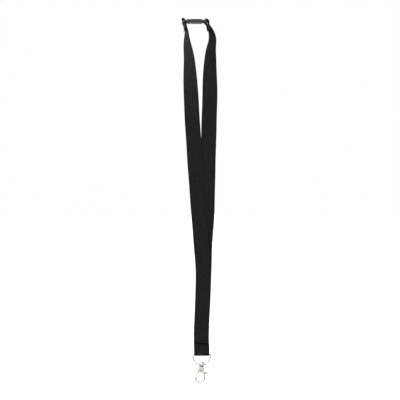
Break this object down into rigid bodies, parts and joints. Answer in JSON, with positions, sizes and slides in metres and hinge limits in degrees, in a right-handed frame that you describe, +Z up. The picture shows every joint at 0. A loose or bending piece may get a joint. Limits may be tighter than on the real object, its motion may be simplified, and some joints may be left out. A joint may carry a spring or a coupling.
{
  "type": "neck lanyard",
  "caption": "Flat webbing neck strap with a breakaway buckle behind the neck, sewn at the bottom over a D-ring that carries a swivel hook with a thumb-opened gate.",
  "frame": {"origin": "centre of the flat back face of the sewn joint, just above the D-ring", "axes": "+Z up along the hanging strap towards the buckle, +Y out of the back of the sewn joint, +X to the right seen from the front"},
  "size_m": [0.047, 0.0251, 0.4863],
  "materials": {
    "webbing": "black woven polyester webbing, fine cross ribs",
    "thread": "black polyester sewing thread",
    "buckle": "charcoal moulded plastic, satin",
    "nickel": "bright nickel plating, slightly warm",
    "spring_steel": "drawn spring wire"
  },
  "bodies": {
    "right_strap": {"strap_right": "webbing", "thread_right": "thread", "thread_bottom": "thread", "buckle_socket": "buckle"},
    "plug": {"buckle_plug": "buckle"},
    "left_strap": {"strap_left": "webbing", "thread_left": "thread"},
    "ring": {"d_ring": "nickel"},
    "bail": {"swivel_bail": "nickel"},
    "hook": {"hook_body": "nickel", "gate_rivet": "nickel", "gate_spring": "spring_steel"},
    "gate": {"gate_lever": "nickel"}
  },
  "joints": [
    {"name": "buckle_release", "type": "slide", "parent": "right_strap", "child": "plug", "axis": [-1, 0, 0], "range_m": [0, 0.015]},
    {"name": "left_strap_pivot", "type": "hinge", "parent": "plug", "child": "left_strap", "pos_m": [-0.0233, -0.00115, 0.4374], "axis": [0, -1, 0], "range_deg": [0, 2]},
    {"name": "ring_swing", "type": "hinge", "parent": "right_strap", "child": "ring", "pos_m": [0, -0.0023, -0.006], "axis": [1, 0, 0], "range_deg": [-80, 80]},
    {"name": "bail_travel", "type": "hinge", "parent": "ring", "child": "bail", "pos_m": [0, -0.0023, -0.0088], "axis": [0, 1, 0], "range_deg": [-45, 45]},
    {"name": "hook_swivel", "type": "hinge", "parent": "bail", "child": "hook", "pos_m": [0, -0.0023, -0.0203], "axis": [0.1132, 0, 0.9936], "continuous": true},
    {"name": "gate_open", "type": "hinge", "parent": "hook", "child": "gate", "pos_m": [-0.00123, -0.0023, -0.02761], "axis": [0, -1, 0], "range_deg": [0, 28], "deforming": ["gate_spring"]}
  ],
  "couplings": [
    {"joint": "left_strap_pivot", "follows": "buckle_release", "rad_per_m": 2.317}
  ]
}
